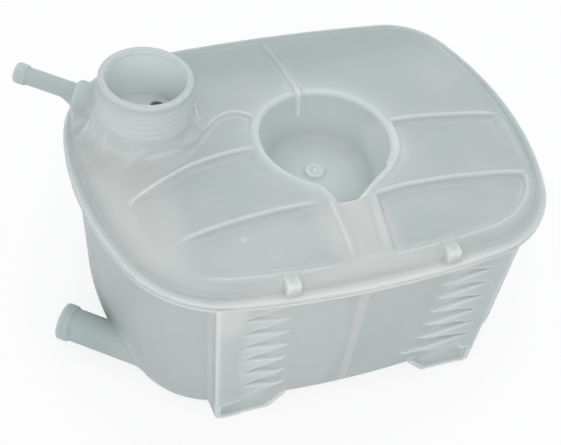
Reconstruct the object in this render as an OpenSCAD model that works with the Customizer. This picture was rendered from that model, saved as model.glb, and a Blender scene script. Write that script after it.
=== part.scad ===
// Coolant expansion tank of a car: two moulded half shells, welded together at a flange.
// X runs to the right, Y to the back and Z up, from the middle of the floor.

/* [Flange] */
// Width of the welding flange at its widest
flange_w = 239; // [210:1:260]
// Depth of the welding flange from front to back
flange_d = 183; // [165:1:200]
// How far behind the middle the flange is widest
wide_y = 3.2; // [0:0.1:6]
// Radius of the bowed front edge
front_r = 456; // [350:1:600]
// Radius of each bowed side
side_r = 170; // [155:1:220]
// Radius of the bowed back edge
back_r = 860; // [600:10:1200]
// Radius of the front corners
front_corner_r = 53; // [45:1:60]
// Radius of the right back corner
back_corner_r = 36; // [32:1:42]
// Radius of the left back corner, round the filler neck
neck_corner_r = 64; // [54:1:68]
// Thickness of each half's welding lip
lip_t = 2.4; // [1.8:0.1:3.2]
// How far the lip stands out from the wall
lip_w = 4.5; // [3:0.1:6]

/* [Walls] */
// Wall thickness of both halves
wall = 2.5; // [2:0.1:3.2]
// Height of the flange above the floor
weld_z = 87; // [75:1:100]
// Radius between the walls and the floor
floor_r = 14; // [10:0.5:16]
// Draft of the side walls, as a share of their height
side_draft_share = 0.1; // [0.05:0.01:0.11]
// Draft of the front wall, as a share of its height
front_draft_share = 0.03; // [0:0.01:0.05]

/* [Top] */
// Height of the shoulder above the flange
shoulder_h = 9; // [8.5:0.1:12]
// Radius of the shoulder
shoulder_r = 8; // [6:0.1:8.5]
// How much the middle of the top rises above the shoulder
crown_h = 8.5; // [6:0.1:10]
// Depth of the large panels' steps
panel_step = 5; // [3:0.1:6]
// Depth of the narrow panel's step in front of the neck
narrow_step = 2.6; // [1.5:0.1:4]
// Depth of every panel at its front edge
panel_fade = 0.8; // [0.4:0.1:1.5]

/* [Well] */
// How far the well lies to the right of the middle
well_x = 5.6; // [2:0.1:9]
// How far the well lies in front of the middle
well_y = 4.7; // [1:0.1:8]
// Radius of the well at the top
well_r = 33.5; // [30:0.5:35]
// Radius of the well's floor
well_floor_r = 26; // [22:0.2:28]
// Depth of the well's floor below the flange
well_drop = 10; // [6:0.5:25]
// Reach of the front notch from the well's middle
notch_reach = 42.2; // [38:0.2:46]
// Width of the notch at its tip
notch_tip_w = 9.4; // [5:0.2:12]
// How far the notch's tip lies to the left of the well's middle
notch_x = 4.9; // [0:0.1:6]
// Diameter of the moulding boss on the well's floor
boss_d = 10; // [6:0.5:12]
// Height of the moulding boss
boss_h = 1.6; // [1:0.1:3]

/* [Filler neck] */
// Neck axis to the left of the middle
neck_x = 80; // [75:0.5:82]
// Neck axis behind the middle
neck_y = 24; // [15:0.5:28]
// Height of the mouth above the flange
neck_h = 46; // [43:0.5:55]
// Outer diameter of the neck under its thread
neck_d = 43.6; // [42:0.1:46]
// Diameter over the thread and the mouth's band
thread_d = 46; // [45:0.1:48]
// Bore of the neck
neck_bore = 38.4; // [34:0.1:39]
// Height of the band round the mouth
band_h = 4; // [3:0.1:6]
// Height of the straight part of the neck
straight_h = 25; // [20:0.5:27]
// Radius of the flared foot at the flange
flare_r = 31; // [28:0.5:32]
// Height of the web in the neck above the flange
web_z = 15; // [13:0.5:18]
// Thickness of the web and its openings' bar
web_t = 2; // [1.5:0.1:3]
// Thickness of the gussets at the neck's foot
gusset_t = 2.2; // [1.5:0.1:3]

/* [Spigots] */
// Direction of both spigots, from the right counter-clockwise
spigot_turn = 139; // [130:1:145]
// Outer diameter of the vent spigot
vent_d = 9; // [8:0.1:10]
// Diameter over the vent spigot's bead
vent_bead_d = 10.6; // [9:0.1:12]
// Bore of the vent spigot
vent_bore = 5; // [4.2:0.1:6]
// Height of the vent spigot above the flange
vent_z = 22.3; // [20:0.1:26]
// Distance of the vent spigot's end from the neck's axis
vent_reach = 68.2; // [55:0.1:75]
// Outer diameter of the outlet spigot
outlet_d = 17; // [15:0.1:18]
// Diameter over the outlet spigot's bead
outlet_bead_d = 19; // [17.5:0.1:21]
// Bore of the outlet spigot
outlet_bore = 12.4; // [10:0.1:13]
// Height of the outlet spigot above the floor
outlet_z = 12.5; // [11:0.1:20]
// Left reach of the outlet spigot's end from the middle
outlet_x = 129; // [124:0.5:135]
// Outlet spigot's end, in front of the middle
outlet_y = 13.4; // [8:0.2:20]
// Length of the spigots' beads
bead_l = 5; // [4:0.1:7]

/* [Front posts] */
// Half the width over the posts at the flange
post_x = 77.5; // [74:0.5:80]
// How far each post leans inwards at the floor
post_lean = 7; // [4:0.5:9]
// Width of each post
post_w = 13; // [11:0.5:16]
// Distance of the posts' front from the middle
post_y = 85.6; // [84:0.1:87]
// Height of the lowest rib above the floor
rib_z = 15; // [13.5:0.5:18]
// Spacing of the ribs beside each post
rib_pitch = 10.1; // [8:0.1:12]
// Distance of the ribs' tips from the middle
rib_tip_x = 36.5; // [32:0.5:42]
// Height of a foot
foot_h = 11; // [9:0.5:14]
// Length of a foot along the front
foot_l = 26; // [22:0.5:30]
// Length of the slope beside a foot
foot_slope = 11; // [8:0.5:14]
// Depth of the recess in a foot
foot_recess = 7; // [4:0.5:8]
// Rim round the recess
foot_rim = 2.2; // [1.8:0.1:3]

/* [Lugs] */
// Distance between the middles of the two front lugs
lug_span = 80; // [60:1:100]
// Width of a lug
lug_w = 7.5; // [5:0.5:10]
// Length of a lug from the rim backwards
lug_l = 12; // [8:0.5:14]
// Height of a lug above the flange
lug_h = 8.5; // [6:0.5:9]

/* [Hidden] */
$fn = 48;
plastic = [0.80, 0.84, 0.84];
// Gussets round the neck: direction from the right counter-clockwise, reach beyond the flared foot
gusset_rows = [[-7, 2], [179, 0], [187, 0], [211, 1]];
// How far the gussets climb the straight part of the neck
gusset_rise_share = 0.5;
// Place of the moulding boss from the well's middle
boss_shift = [-1.3, 2.1, 0];
// One overrun serves every cut
over = 1;
tall = neck_h;
// Steps along each half of the outline: front, front corner, side, back corner, back
arc_steps = [3, 6, 5, 7, 3];
// Steps round the floor's and the shoulder's bend
bend_steps = 4;
// Where the shoulder's bend turns into the crown
shoulder_turn = 78;
// Rings of the crown as shares of its size
crown_shares = [0.92, 0.82, 0.7, 0.55, 0.35, 0.04];
// How flat the crown's middle is
crown_power = 2.5;
half_w = flange_w / 2;
half_d = flange_d / 2;
top_z = weld_z + shoulder_h;
mouth_z = weld_z + neck_h;
neck_at = [-neck_x, neck_y, 0];
well_at = [well_x, -well_y, 0];

// Centres of the outline's arcs
front_c = [0, front_r - half_d];
side_c = [half_w - side_r, wide_y];
back_c = [0, half_d - back_r];
front_corner_c = meet(front_c, front_r - front_corner_r, side_c, side_r - front_corner_r, -1);

// Outlines of the panels' steps, as shares of the flange's half width and half depth
back_left_shares = [[-0.78, 0.04], [-0.64, 0.05], [-0.5, 0.085], [-0.37, 0.22], [-0.29, 0.235],
    [-0.24, 0.18], [-0.29, 0], [-0.4, -0.02], [-0.55, -0.045], [-0.68, -0.1], [-0.78, -0.16], [-0.84, -0.08]];
mid_left_shares = [[-0.81, -0.2], [-0.68, -0.13], [-0.55, -0.075], [-0.41, -0.05], [-0.3, -0.045],
    [-0.275, -0.125], [-0.22, -0.296], [-0.116, -0.42], [-0.08, -0.475], [-0.25, -0.475], [-0.41, -0.485],
    [-0.56, -0.5], [-0.68, -0.515], [-0.79, -0.42]];
mid_right_shares = [[0.375, 0], [0.46, -0.01], [0.63, -0.015], [0.82, -0.022], [0.86, -0.15],
    [0.83, -0.35], [0.75, -0.465], [0.46, -0.465], [0.2, -0.47], [0.3, -0.37], [0.365, -0.2]];
front_left_shares = [[-0.68, -0.535], [-0.56, -0.515], [-0.41, -0.502], [-0.26, -0.492], [-0.075, -0.493],
    [-0.09, -0.84], [-0.3, -0.83], [-0.5, -0.785], [-0.6, -0.73], [-0.67, -0.63]];
front_right_shares = [[0.125, -0.51], [0.26, -0.49], [0.46, -0.487], [0.72, -0.49], [0.77, -0.58],
    [0.71, -0.7], [0.6, -0.77], [0.38, -0.83], [0.09, -0.845]];
// Each panel: outline, back and front edge as shares of the half depth, step, crown at its back and its front,
// the crown being a share of its whole height
panels = [
    [back_left_shares, 0.15, -0.06, narrow_step, 0.82, 0.8],
    [mid_left_shares, -0.08, -0.48, panel_step, 0.74, 0.66],
    [mid_right_shares, -0.01, -0.46, panel_step, 0.76, 0.66],
    [front_left_shares, -0.5, -0.83, panel_step, 0.66, 0.08],
    [front_right_shares, -0.49, -0.84, panel_step, 0.66, 0.08]
];
// Where the notch's sides leave the well's edge, as shares of the well's radius
notch_left_share = 0.4;
notch_right_share = 0.65;

// Point where two circles meet, on the right (side 1) or the left of the line between them
function meet(c1, r1, c2, r2, side) =
    let (d = c2 - c1, l = norm(d), a = (r1 * r1 - r2 * r2 + l * l) / (2 * l), h = sqrt(r1 * r1 - a * a))
    c1 + d * a / l + side * h * [d.y, -d.x] / l;
function angle(from, to) = atan2(to.y - from.y, to.x - from.x);
function arc(c, r, a1, a2, steps, first) =
    [for (i = [first:steps]) c + r * [cos(a1 + (a2 - a1) * i / steps), sin(a1 + (a2 - a1) * i / steps)]];
// Half of the flange's outline on the right, moved inwards by inset, from the front to the back
function half_outline(inset, corner_r) =
    let (corner_c = meet(back_c, back_r - corner_r, side_c, side_r - corner_r, 1),
         a1 = angle(front_c, front_corner_c), a2 = angle(side_c, front_corner_c),
         a3 = angle(side_c, corner_c), a4 = angle(back_c, corner_c))
    concat(
        arc(front_c, front_r - inset, -90, a1, arc_steps[0], 0),
        arc(front_corner_c, front_corner_r - inset, a1, a2, arc_steps[1], 1),
        arc(side_c, side_r - inset, a2, a3, arc_steps[2], 1),
        arc(corner_c, corner_r - inset, a3, a4, arc_steps[3], 1),
        arc(back_c, back_r - inset, a4, 90, arc_steps[4], 1));
// The whole outline; its left half is turned over and has the rounder back corner
function outline(inset) =
    let (right = half_outline(inset, back_corner_r), left = half_outline(inset, neck_corner_r),
         last = len(left) - 1)
    concat(right, [for (i = [last - 1:-1:1]) [-left[i].x, left[i].y]]);
function ring(inset, shift, z) = [for (p = outline(inset)) [p.x, p.y + shift, z]];
// The tub's ring at a height, thicker inwards by grow
function tub_ring(z, extra, grow) =
    let (h = weld_z - max(z, floor_r))
    ring(lip_w + side_draft_share * h + extra + grow, -(side_draft_share - front_draft_share) * h, z);
// Rings of the tub, from its floor up to the flange
function tub_rings(grow) = concat(
    [for (i = [0:bend_steps]) let (a = 90 * i / bend_steps, r = floor_r - grow)
        tub_ring(floor_r - r * cos(a), r * (1 - sin(a)), grow)],
    [tub_ring(weld_z, 0, grow)]);
// Rings of the top, from the flange up to the crown
function top_rings(grow) =
    let (r = shoulder_r - grow, edge = lip_w + shoulder_r, inset = edge - r * cos(shoulder_turn),
         high = top_z - shoulder_r + r * sin(shoulder_turn))
    concat(
        [ring(lip_w + grow, 0, weld_z)],
        [for (i = [0:bend_steps]) let (a = shoulder_turn * i / bend_steps)
            ring(edge - r * cos(a), 0, top_z - shoulder_r + r * sin(a))],
        [for (s = crown_shares) [for (p = outline(inset))
            [p.x * s, p.y * s, high + crown_h * (1 - pow(s, crown_power))]]]);

module loft(rings) {
    n = len(rings[0]);
    last = len(rings) - 1;
    sides = [for (k = [0:last - 1], i = [0:n - 1])
        [k * n + i, (k + 1) * n + i, (k + 1) * n + (i + 1) % n, k * n + (i + 1) % n]];
    polyhedron(
        [for (r = rings) each r],
        concat([[for (i = [0:n - 1]) i]], sides, [[for (i = [n - 1:-1:0]) last * n + i]]));
}

module lip(z) {
    translate([0, 0, z]) linear_extrude(lip_t) polygon(outline(0));
}

// Space that a panel's step takes out of the top, grown by the wall for the inner form
module panel(p, grow) {
    back = p[1] * half_d;
    front = p[2] * half_d;
    z = top_z + crown_h * p[4] - p[3];
    rise = top_z + crown_h * p[5] - panel_fade - z;
    tilt = atan(rise / (back - front));
    translate([0, back, z - grow]) rotate([-tilt, 0, 0]) translate([0, -back, 0])
        linear_extrude(tall) offset(delta = grow) polygon([for (q = p[0]) [q.x * half_w, q.y * half_d]]);
}

module panels_space(grow) {
    for (p = panels) panel(p, grow);
}

// Space of the well and its notch, grown by the wall for the inner form
module well_space(grow) {
    floor_z = weld_z - well_drop - grow;
    rise = top_z + crown_h - floor_z;
    translate(well_at + [0, 0, floor_z]) {
        cylinder(h = rise, r1 = well_floor_r + grow, r2 = well_r + grow);
        translate([0, 0, rise]) cylinder(h = over, r = well_r + grow);
        intersection() {
            linear_extrude(rise + over) offset(delta = grow) polygon([
                [0, 0], [-well_r * notch_left_share, -sqrt(1 - pow(notch_left_share, 2)) * well_r],
                [-notch_x - notch_tip_w / 2, -notch_reach], [-notch_x + notch_tip_w / 2, -notch_reach],
                [well_r * notch_right_share, -sqrt(1 - pow(notch_right_share, 2)) * well_r]]);
            rotate([90, 0, 90]) translate([0, 0, -well_r]) linear_extrude(2 * well_r) polygon([
                [0, 0], [-well_floor_r - grow, 0], [-notch_reach - grow, rise - panel_step],
                [-notch_reach - grow, rise + over], [0, rise + over]]);
        }
    }
}

// Outside of the well below the top
module well_outside() {
    intersection() {
        well_space(wall);
        translate([-half_w, -half_d, 0]) cube([flange_w, flange_d, weld_z + shoulder_h / 2]);
    }
}

module turned(at, z, a) {
    translate(at + [0, 0, z]) rotate([0, 90, a]) children();
}

// Outside of a spigot from its root to its swollen end
module spigot(length, d, bead_d) {
    swell = bead_d - d;
    rotate_extrude() polygon([
        [0, 0], [d / 2, 0], [d / 2, length - bead_l - swell], [bead_d / 2, length - bead_l],
        [bead_d / 2, length - swell / 4], [bead_d / 2 - swell / 4, length], [0, length]]);
}

module neck_outside() {
    foot = weld_z + lip_t;
    straight_z = mouth_z - straight_h;
    translate(neck_at) rotate_extrude() polygon([
        [0, foot], [flare_r, foot], [neck_d / 2, straight_z], [neck_d / 2, mouth_z - band_h],
        [thread_d / 2, mouth_z - band_h], [thread_d / 2, mouth_z], [0, mouth_z]]);
}

module neck_inside() {
    straight_z = mouth_z - straight_h;
    translate(neck_at) rotate_extrude() polygon([
        [0, weld_z], [flare_r - wall, weld_z], [flare_r - wall, weld_z + lip_t],
        [neck_bore / 2, straight_z], [neck_bore / 2, mouth_z + over], [0, mouth_z + over]]);
}

// Web across the neck's foot, with two openings
module neck_web() {
    gap = neck_bore / 2 - 2 * web_t;
    intersection() {
        translate(neck_at + [0, 0, weld_z + web_z]) difference() {
            cylinder(h = web_t, r = flare_r);
            for (side = [-1, 1]) translate([side * (web_t + gap / 2), 0, -over])
                linear_extrude(web_t + 2 * over) square([gap, gap], center = true);
        }
        neck_outside();
    }
}

module gussets() {
    top = mouth_z - straight_h * (1 - gusset_rise_share);
    for (g = gusset_rows) translate(neck_at) rotate([90, 0, g[0]])
        translate([0, 0, -gusset_t / 2]) linear_extrude(gusset_t) polygon([
            [neck_d / 2 - wall / 2, weld_z + lip_t], [flare_r, weld_z + lip_t],
            [flare_r + g[1], top_z - shoulder_r / 4], [neck_d / 2 + gusset_t / 2, top],
            [neck_d / 2 - wall / 2, top]]);
}

module lugs() {
    for (side = [-1, 1]) translate([side * lug_span / 2 - lug_w / 2, -half_d + lip_t, weld_z + lip_t / 2])
        cube([lug_w, lug_l, lug_h - lip_t / 2]);
}

module upper_shell() {
    color(plastic) {
        difference() {
            union() {
                difference() {
                    loft(top_rings(0));
                    panels_space(0);
                }
                well_outside();
                lip(weld_z);
                neck_outside();
                turned(neck_at, weld_z + vent_z, spigot_turn) spigot(vent_reach, vent_d, vent_bead_d);
                turned(neck_at, weld_z + vent_z, spigot_turn)
                    cylinder(h = flare_r + vent_d / 2, d = vent_d + 2 * wall);
                gussets();
                lugs();
            }
            difference() {
                loft(top_rings(wall));
                panels_space(wall);
                well_space(wall);
            }
            well_space(0);
            neck_inside();
            turned(neck_at, weld_z + vent_z, spigot_turn) cylinder(h = vent_reach + over, d = vent_bore);
        }
        neck_web();
        translate(well_at + boss_shift + [0, 0, weld_z - well_drop - wall])
            cylinder(h = wall + boss_h, d = boss_d);
    }
}

// Front view of one post between two heights, its sides moved inwards by rim
module post_front(low, high, rim) {
    x_low = post_x - post_lean * (1 - low / weld_z);
    x_high = post_x - post_lean * (1 - high / weld_z);
    polygon([
        [x_high - rim, high], [x_low - rim, low],
        [x_low - post_w + rim, low], [x_high - post_w + rim, high]]);
}

module rib_front() {
    ribs = floor((weld_z - rib_z) / rib_pitch);
    for (i = [0:ribs - 1]) {
        z = rib_z + i * rib_pitch;
        x = post_x - post_w - post_lean * (1 - z / weld_z);
        polygon([[x + wall, z], [x + wall, z + rib_pitch], [rib_tip_x, z + rib_pitch / 2]]);
    }
}

module foot_front() {
    outer = post_x - post_lean - wall;
    inner = post_x - post_lean - foot_l;
    polygon([[outer, 0], [inner, 0], [inner - foot_slope, foot_h], [outer, foot_h + wall]]);
}

module foot_opening() {
    outer = post_x - post_lean - foot_rim;
    slope = foot_slope / foot_h;
    inner = post_x - post_lean - foot_l + foot_rim * norm([1, slope]);
    low = foot_rim;
    high = foot_h - foot_rim;
    polygon([[outer, low], [inner - slope * low, low], [inner - slope * high, high], [outer, high]]);
}

// Extrudes a front view from the posts' front backwards
module from_front(depth) {
    translate([0, depth - post_y, 0]) rotate([90, 0, 0]) linear_extrude(depth) children();
}

module post() {
    difference() {
        union() {
            from_front(floor_r + wall) post_front(0, weld_z, 0);
            from_front(floor_r) rib_front();
            from_front(floor_r) foot_front();
        }
        translate([0, -over, 0]) from_front(foot_recess + over) foot_opening();
    }
}

// Hollow of a post, open to the tank
module post_space() {
    translate([0, wall, 0]) from_front(floor_r + 2 * wall) post_front(foot_h + wall, weld_z - lip_t, wall);
}

module outlet(length, d, bead_d) {
    translate([-outlet_x, -outlet_y, outlet_z]) rotate([0, 90, spigot_turn])
        translate([0, 0, -length]) spigot(length, d, bead_d);
}

module lower_shell() {
    run = (outlet_x - half_w + lip_w) / -cos(spigot_turn) + 2 * outlet_d;
    color(plastic) difference() {
        union() {
            loft(tub_rings(0));
            lip(weld_z - lip_t);
            for (side = [0, 1]) mirror([side, 0, 0]) post();
            outlet(run, outlet_d, outlet_bead_d);
        }
        loft(tub_rings(wall));
        for (side = [0, 1]) mirror([side, 0, 0]) post_space();
        translate([-outlet_x, -outlet_y, outlet_z]) rotate([0, 90, spigot_turn])
            translate([0, 0, -run]) cylinder(h = run + over, d = outlet_bore);
    }
}

upper_shell();
lower_shell();
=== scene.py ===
"""Coolant expansion tank: two moulded halves of natural polypropylene, meshed from distance fields."""

import math

import bmesh
import bpy
import numpy as np
from mathutils import Matrix, Vector


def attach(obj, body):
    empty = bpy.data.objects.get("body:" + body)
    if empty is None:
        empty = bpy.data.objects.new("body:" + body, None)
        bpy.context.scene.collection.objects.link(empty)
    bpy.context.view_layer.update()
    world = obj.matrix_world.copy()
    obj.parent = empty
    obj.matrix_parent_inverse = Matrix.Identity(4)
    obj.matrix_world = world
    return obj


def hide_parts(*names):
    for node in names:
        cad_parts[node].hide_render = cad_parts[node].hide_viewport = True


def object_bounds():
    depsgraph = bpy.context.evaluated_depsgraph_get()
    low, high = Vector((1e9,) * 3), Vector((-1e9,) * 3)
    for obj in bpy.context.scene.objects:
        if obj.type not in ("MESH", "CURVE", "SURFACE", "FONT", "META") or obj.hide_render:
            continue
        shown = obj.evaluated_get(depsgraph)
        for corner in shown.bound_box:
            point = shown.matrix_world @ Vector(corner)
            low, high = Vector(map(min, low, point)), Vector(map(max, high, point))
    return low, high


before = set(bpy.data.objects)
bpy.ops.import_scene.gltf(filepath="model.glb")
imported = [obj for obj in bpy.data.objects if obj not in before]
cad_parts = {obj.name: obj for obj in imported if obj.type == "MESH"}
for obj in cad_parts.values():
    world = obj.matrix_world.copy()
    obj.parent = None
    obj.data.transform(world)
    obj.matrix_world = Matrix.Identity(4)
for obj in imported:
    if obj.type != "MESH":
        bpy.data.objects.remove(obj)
cad_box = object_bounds()

MM = 0.001
BODY = "root"

# Sizes in millimetres. The main ones are those of the part's source, and the soft detail is added here
# Flange, walls and tub
FLANGE_W = 239.0
FLANGE_D = 183.0
WIDE_Y = 3.2
FRONT_R = 456.0
SIDE_R = 170.0
BACK_R = 860.0
FRONT_CORNER_R = 53.0
BACK_CORNER_R = 36.0
NECK_CORNER_R = 64.0
LIP_T = 2.4
LIP_W = 4.5
LIP_ROUND = 0.9
WALL = 2.5
WELD_Z = 87.0
FLOOR_R = 14.0
SIDE_DRAFT_SHARE = 0.1
FRONT_DRAFT_SHARE = 0.03
TOP_DRAFT_SHARE = 0.1

# Shoulder, crown and stepped panels
SHOULDER_H = 9.0
SHOULDER_R = 8.0
CROWN_H = 8.5
CROWN_POWER = 2.5
# Share of the way out beyond which the crown falls no further
CROWN_LIMIT = 1.15
# Steps of the panels: in the source, here, and behind the neck's ledge, with the run over which a step falls
PANEL_STEP = 5.0
SOFT_STEP = 3.3
NARROW_STEP = 1.7
STEP_RUN = 3.0
STEP_AHEAD = 0.3
# Soft ridge along a step's crest: height, half width and distance behind the crest
CREST_H = 0.5
CREST_HALF_W = 1.3
CREST_BACK = 0.6
# Shortest panel from back to front, and the share of its step that a front panel keeps at its front edge
LEAST_PANEL = 4
FRONT_REST = 0.35

# Well with its notch, rib and boss
WELL_X = 5.6
WELL_Y = -4.7
WELL_R = 33.5
WELL_FLOOR_R = 26.0
WELL_DROP = 10.0
WELL_RIM_R = 2.2
NOTCH_REACH = 42.2
NOTCH_TIP_W = 9.4
NOTCH_X = 4.9
WELL_FLOOR_ROUND = 3.0
NOTCH_ROUND = 2.0
NOTCH_MOUTH_ROUND = 3.0
# Rib down the back of the well: half width, height of its foot above the floor, depth and fillets
WELL_RIB_HALF_W = 1.3
WELL_RIB_FOOT = 14
WELL_RIB_DEPTH = 1.2
WELL_RIB_ROUND = 1.0
WELL_RIB_FILLET = 0.8
BOSS_D = 10.0
BOSS_H = 1.6
BOSS_X, BOSS_Y = 4.3, -2.6
# Dish in the boss and pip in the dish: radius, fade of the edge and depth or height
DISH_R, DISH_FADE, DISH_DEPTH = 3.8, 0.8, 0.7
PIP_R, PIP_FADE, PIP_H = 1.9, 1.0, 1.1
BOSS_ROUND = 0.6
BOSS_FILLET = 0.8

# Neck with its bore, thread, web and gussets
NECK_X = -80.0
NECK_Y = 24.0
NECK_H = 46.0
NECK_D = 43.6
NECK_BORE = 38.4
STRAIGHT_H = 25.0
FLARE_R = 31.0
THREAD_TOP = 7.5
THREAD_PITCH = 3.4
THREAD_H = 0.5
THREAD_TURNS = 4.0
# Thread's flat share and the steepness of its flanks and of its ends, per turn
THREAD_CREST = 1.25
THREAD_STEEP = 3.0
# Middle and half height of the neck's part that carries the thread, above the start of the straight part
THREAD_BAND_MID, THREAD_BAND_HALF = 10, 14
# Plain ring above the thread: height, distance below the mouth, flat share and fade
RING_H = 0.55
RING_DROP = 5.2
RING_CREST = 1.6
RING_FADE = 1.1
# The thread's print inside the bore, how far the bore runs below the straight part, and its fillet
BORE_PRINT = 0.25
BORE_RUN = 2
BORE_ROUND = 1.3
WEB_Z = 15.0
WEB_T = 2.0
# Round hole in the web: place from the neck's axis and radius
WEB_HOLE = (11, 12, 3.2)
GUSSET_T = 2.2
GUSSET_ROUND = 0.9
GUSSET_FILLET = 2.5
# Gussets at the neck's foot: direction, reach beyond the flare, top above the neck's straight part
GUSSETS = ((-9.0, 0.5, 14.0), (166.0, 0.5, 5.0), (174.0, -2.0, 3.0), (203.0, -3.5, 1.0))
# Outside of the neck: the flare's extra radius, the height of its middle and its softness
NECK_R = 22.8
FLARE_OUT = 11.5
FLARE_MID = 10.5
FLARE_SOFT = 3.2
# Slope that makes the flare's field a distance, and the fillet where it meets the top
FLARE_SLOPE = 0.93
FLARE_FILLET = 5.0
MOUTH_ROUND_H = 1.2
MOUTH_ROUND = 1.1

# Vent and outlet spigots
SPIGOT_TURN = 139.0
VENT_D = 9.0
VENT_BEAD_D = 10.6
VENT_BORE = 5.0
VENT_Z = 22.3
VENT_REACH = 68.2
# Sleeve at the vent's root: where its end starts, how the end tapers on top and underneath, and its cut
SLEEVE_END = 34.5
SLEEVE_TAPER = 2.5
SLEEVE_TAPER_BELOW = 7.5
SLEEVE_FADE = 4
SLEEVE_SLOPE = 0.9
SLEEVE_CUT = 46
# Fin under the sleeve: reach and fillet, and the fillet between the vent and the neck
FIN_REACH = 36.5
FIN_ROUND = 2.0
VENT_FILLET = 5.0
OUTLET_D = 17.0
OUTLET_BEAD_D = 19.0
OUTLET_BORE = 12.4
OUTLET_Z = 12.5
OUTLET_X = -129.0
OUTLET_Y = -13.4
BEAD_L = 5.0
SPIGOT_ROUND = 0.6
# How far the outlet runs inwards from its mouth, and its fillet at the wall
OUTLET_RUN = 60
OUTLET_FILLET = 1.5

# Posts with their wedge ribs and feet
POST_X = 77.5
POST_LEAN = 7.0
POST_W = 13.0
POST_Y = 85.6
RIB_Z = 15.0
RIB_PITCH = 10.1
RIBS = 7
# Share of its length by which a rib's wedge widens further behind its root
RIB_OVERRUN = 0.2
RIB_TIP_X = 36.5
RIB_REACH = ((RIB_Z, 10.0), (RIB_Z + 12, 2.0), (RIB_Z + 22, 0.0))
# The right post stands upright on its inner side
RIGHT_ROOT_X = 66.0
FAR_INSIDE = -1000.0
FOOT_H = 11.0
FOOT_L = 26.0
FOOT_SLOPE = 11.0
FOOT_RECESS = 3.4
FOOT_RIM = 2.6
# Rounding of the post, the foot, the foot's underside and the ribs, and the post's fillet to the wall
POST_ROUND = 1.2
FOOT_ROUND = 1.0
SOLE_ROUND = 3.5
RIB_ROUND = 1.1
POST_FILLET = 1.5
# Recess in the foot: fillets in plan, at its top, at its floor and at its edge, and the lean of its top
RECESS_ROUND = 2.0
RECESS_TOP_ROUND = 1.0
RECESS_FLOOR_ROUND = 1.0
RECESS_EDGE_ROUND = 0.6
RECESS_TOP_DROP = 2
RECESS_LEAN = 0.16
# Slopes that make the fields of the recess's top, the foot's slope and the ribs distances
RECESS_TOP_SLOPE = 0.98
FOOT_FIELD_SLOPE = 0.7
RIB_SLOPE = 0.97

# Lugs on the flange, and the fillet between the flange's lips and the walls
LUG_SPAN = 82.0
LUG_W = 7.5
LUG_L = 10.5
LUG_H = 8.5
LUG_ROUND = 1.5
LUG_FILLET = 1.0
LIP_FILLET = 0.6

# Sizes that follow from those above
HALF_W = FLANGE_W / 2
HALF_D = FLANGE_D / 2
TOP_Z = WELD_Z + SHOULDER_H
MOUTH_Z = WELD_Z + NECK_H
STRAIGHT_Z = MOUTH_Z - STRAIGHT_H

# Crests between the stepped panels, in the plan, from left to right
BACK_CREST = ((-104, 0), (-93, 1.5), (-76.8, 1.8), (-66, 3.8), (-58.6, 7.2), (-51, 14), (-44.4, 20.3),
              (-37, 22.8), (-32.4, 22.4), (-26, 18.5), (-22, 9))
LEFT_CREST = ((-106, -24), (-97.7, -18.7), (-81.7, -11.9), (-65.9, -6.6), (-48.9, -4.5), (-28.5, -3.9),
              (-10, -4))
RIGHT_CREST = ((26, -12), (30.7, -7.3), (36, -3), (40.5, -1.1), (55, -0.8), (75.7, -1.4), (97.1, -2),
               (108, -3))
MIDDLE_CREST = ((-94, -51), (-81.1, -48.7), (-66.9, -47.1), (-49, -45.9), (-30.8, -45), (-7, -45.1),
                (12, -46.6), (31.2, -44.5), (54.8, -44.5), (85.5, -44.8), (98, -45.5))
FRONT_EDGE = ((-80, -66), (-68.6, -73.2), (-42.9, -78.8), (-10.9, -79.5), (10.6, -80.2), (45.5, -79),
              (70, -73), (82, -66))
# Middle of the channel between the front panels, at distances in front of the tank's middle
CHANNEL = ((47, 4.1), (62.5, 1.9), (78, 0.4))
CHANNEL_HALF_W = 8.5
CHANNEL_X = -8.5
CHANNEL_DEPTH = 1.0
# Ridge along the channel's left edge: height and half width
CHANNEL_RIDGE_H, CHANNEL_RIDGE_HALF_W = 0.8, 1.6
# Flat place behind the ledge at the neck: height, and the radius round the neck at which it ends
PLATEAU_H = 2.0
PLATEAU_R = 34
# Rim left between the flange's outline and the panels, and the fades of the panels and of the front ones
SHOULDER_BAND = 11.0
BAND_FADE = 9
FRONT_BAND_FADE = 3
# Fades of the panels and the channel: where they start, in x or beyond an edge, and over what run
WELL_FADE = (3, 3)
WELL_LEFT_FADE = (2, 9)
BACK_LEFT_FADE = (-104, 16)
MID_LEFT_FADE = (-103, 12)
FRONT_LEFT_FADE = (-88, 18)
FRONT_MIDDLE_GAP, FRONT_MIDDLE_FADE = 2, 16
CHANNEL_SIDE_FADE = (1.5, 4)
CHANNEL_LEFT_GAP, CHANNEL_LEFT_FADE = 1.5, 5
CHANNEL_RIGHT_GAP, CHANNEL_RIGHT_FADE = 0.5, 3
CHANNEL_BACK_FADE = 1.5
PLATEAU_FADE, PLATEAU_FRONT_FADE = 10, 2.5
# Ledge that runs on from the back crest round the neck: height, half width, fades at the left and the right,
# and the height above the weld at which it ends
LEDGE_H, LEDGE_HALF_W = 0.8, 1.4
LEDGE_LEFT_FADE = (-108, 14)
LEDGE_RIGHT_X, LEDGE_RIGHT_FADE = -50, 12
LEDGE_TOP, LEDGE_TOP_FADE = 24, 5
# Low rib on the back of the top: its middle line as distance back and x, height, half width, fade and ends
BACK_RIB = ((28, 4.0), (50, 3.6), (76, 3.5))
BACK_RIB_H = 0.8
BACK_RIB_HALF_W = 2.4
BACK_RIB_SIDE_FADE = 1.6
BACK_RIB_START, BACK_RIB_END = 27, 77
BACK_RIB_END_FADE = 2
# Moulding pip on the front left panel: place, height, radius and fade
GATE_X, GATE_Y = -55.5, -55.3
GATE_H, GATE_R, GATE_FADE = 0.7, 2.1, 1.6
NOTCH_LEFT_SHARE = 0.4
NOTCH_RIGHT_SHARE = 0.65
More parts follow.
